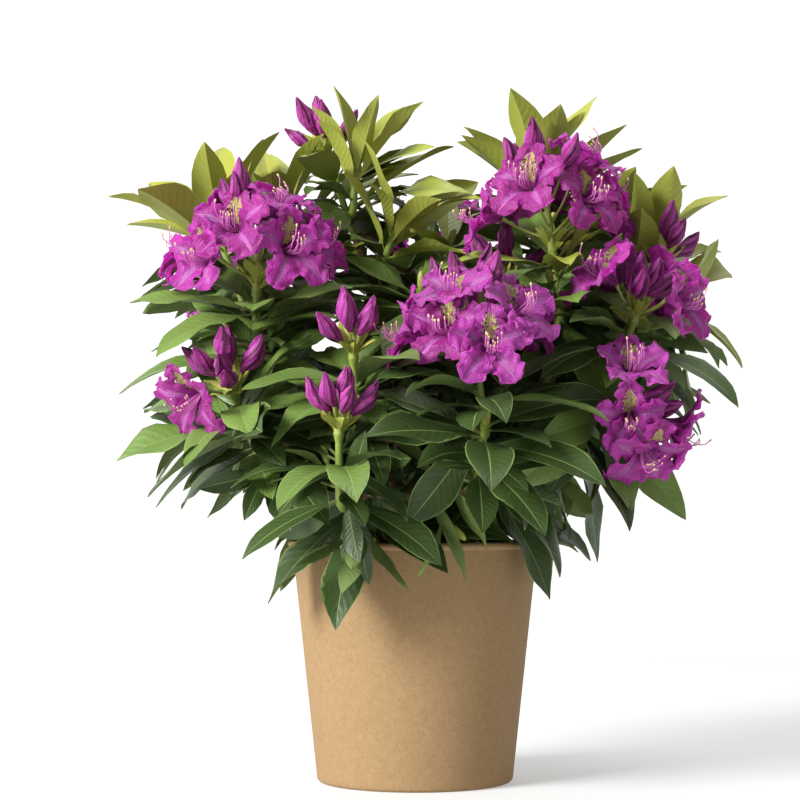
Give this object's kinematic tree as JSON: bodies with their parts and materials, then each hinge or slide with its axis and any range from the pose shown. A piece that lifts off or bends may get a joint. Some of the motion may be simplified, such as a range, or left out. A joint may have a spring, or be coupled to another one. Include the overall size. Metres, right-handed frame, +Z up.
{
  "type": "potted rhododendron",
  "caption": "Rhododendron in bloom in a round paperboard tub: short trunk, boughs and leafy shoots that end in purple flower trusses.",
  "frame": {"origin": "middle of the tub's underside", "axes": "+Z up, -Y towards the front, +X to the right seen from the front"},
  "size_m": [0.4688, 0.4507, 0.5121],
  "materials": {
    "tub": "matte",
    "soil": "matte",
    "bark": "matte",
    "foliage": "satin",
    "blossom": "matte"
  },
  "bodies": {
    "root": {"tub": "tub", "soil": "soil", "trunk": "bark", "bough_left": "bark", "bough_left_low": "bark", "bough_top": "bark", "bough_right": "bark", "bough_right_out": "bark", "bough_right_low": "bark", "bough_front": "bark", "bough_front_low": "bark", "bough_back_left": "bark", "bough_back_top": "bark", "bough_back_right": "bark", "bough_back_low": "bark", "foliage_left_top": "foliage", "foliage_left_middle": "foliage", "foliage_top": "foliage", "foliage_right_top": "foliage", "foliage_right": "foliage", "foliage_right_low": "foliage", "foliage_centre": "foliage", "foliage_front_low": "foliage", "foliage_foot_left": "foliage", "foliage_foot_right": "foliage", "foliage_back_left": "foliage", "foliage_back_top": "foliage", "foliage_back_right": "foliage", "foliage_back_low": "foliage", "foliage_foot_back_left": "foliage", "foliage_foot_back_right": "foliage"}
  },
  "joints": []
}
